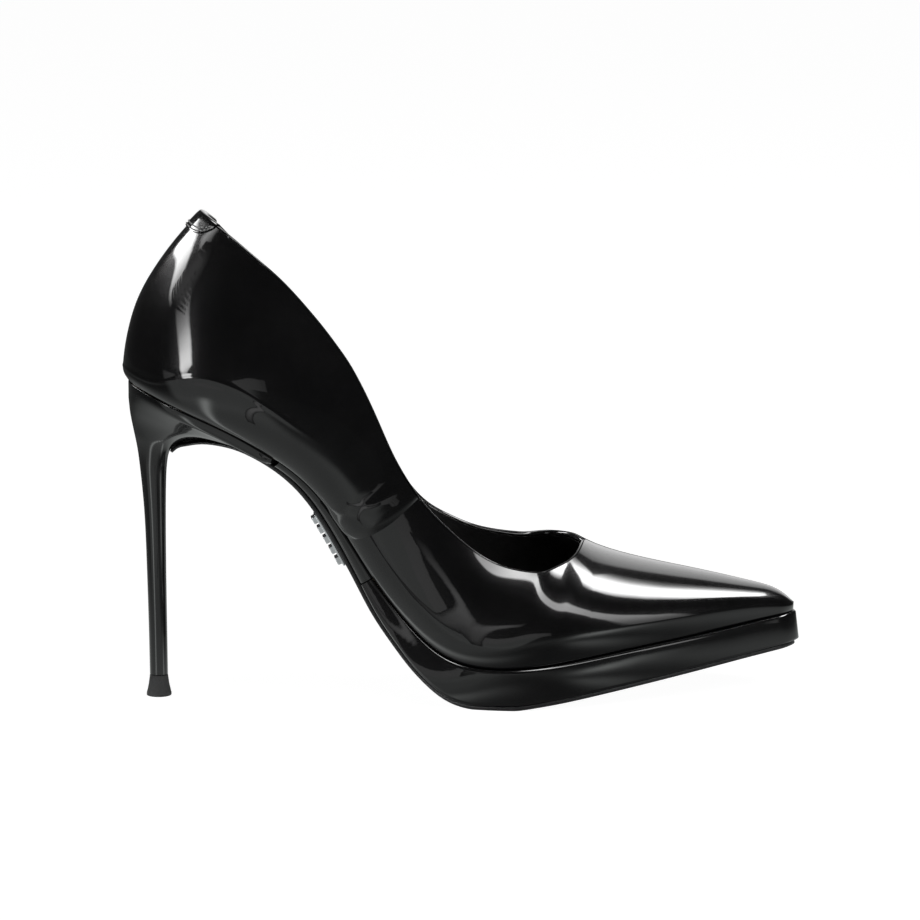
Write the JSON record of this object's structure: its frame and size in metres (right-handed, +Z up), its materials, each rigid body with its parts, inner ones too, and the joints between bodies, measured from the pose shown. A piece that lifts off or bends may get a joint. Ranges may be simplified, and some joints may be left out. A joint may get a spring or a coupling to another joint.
{
  "type": "high heel shoe",
  "caption": "Right-foot platform stiletto pump in black patent leather with a pointed toe, high quarters rising to a back peak and a low-cut topline.",
  "frame": {"origin": "centre of the shoe's box at floor level", "axes": "+X from heel to toe, +Y toward the inner side of the foot, +Z up from the floor"},
  "size_m": [0.2324, 0.0802, 0.1671],
  "materials": {
    "patent_leather": "high gloss black patent",
    "lining_leather": "smooth black lining leather, satin",
    "stiffener": "impregnated fibre stiffener, matt",
    "insole_fibre": "pressed fibre insole board, matt",
    "foam": "soft latex foam pad, matt",
    "cork_filler": "cork and resin, matt",
    "spring_steel": "brushed",
    "heel_plastic": "moulded plastic, satin",
    "tip_rubber": "hard polyurethane, matt",
    "outsole_leatherboard": "coated black sole leather, semi-gloss",
    "ornament_metal": "polished"
  },
  "bodies": {
    "root": {"quarter_outer_side": "patent_leather", "quarter_inner_side": "patent_leather", "vamp": "patent_leather", "quarter_lining_outer_side": "lining_leather", "quarter_lining_inner_side": "lining_leather", "vamp_lining": "lining_leather", "heel_counter": "stiffener", "toe_puff": "stiffener", "vamp_topline_binding": "patent_leather", "quarter_topline_binding": "patent_leather", "forefoot_filler": "cork_filler", "sock_lining": "lining_leather", "heel_pad": "foam", "forefoot_pad": "foam", "platform_cover": "patent_leather", "platform_core": "cork_filler", "heel_cover": "patent_leather", "heel_rod": "spring_steel", "heel_tip_pin": "spring_steel", "heel_tip": "tip_rubber", "heel_screw": "spring_steel", "heel_nail_1": "spring_steel", "heel_nail_2": "spring_steel", "heel_nail_3": "spring_steel", "heel_nail_4": "spring_steel", "insole_board": "insole_fibre", "steel_shank": "spring_steel", "heel_core": "heel_plastic", "sole_ornament": "ornament_metal", "waist_cover": "patent_leather", "outsole": "outsole_leatherboard", "back_tab": "patent_leather"}
  },
  "joints": []
}
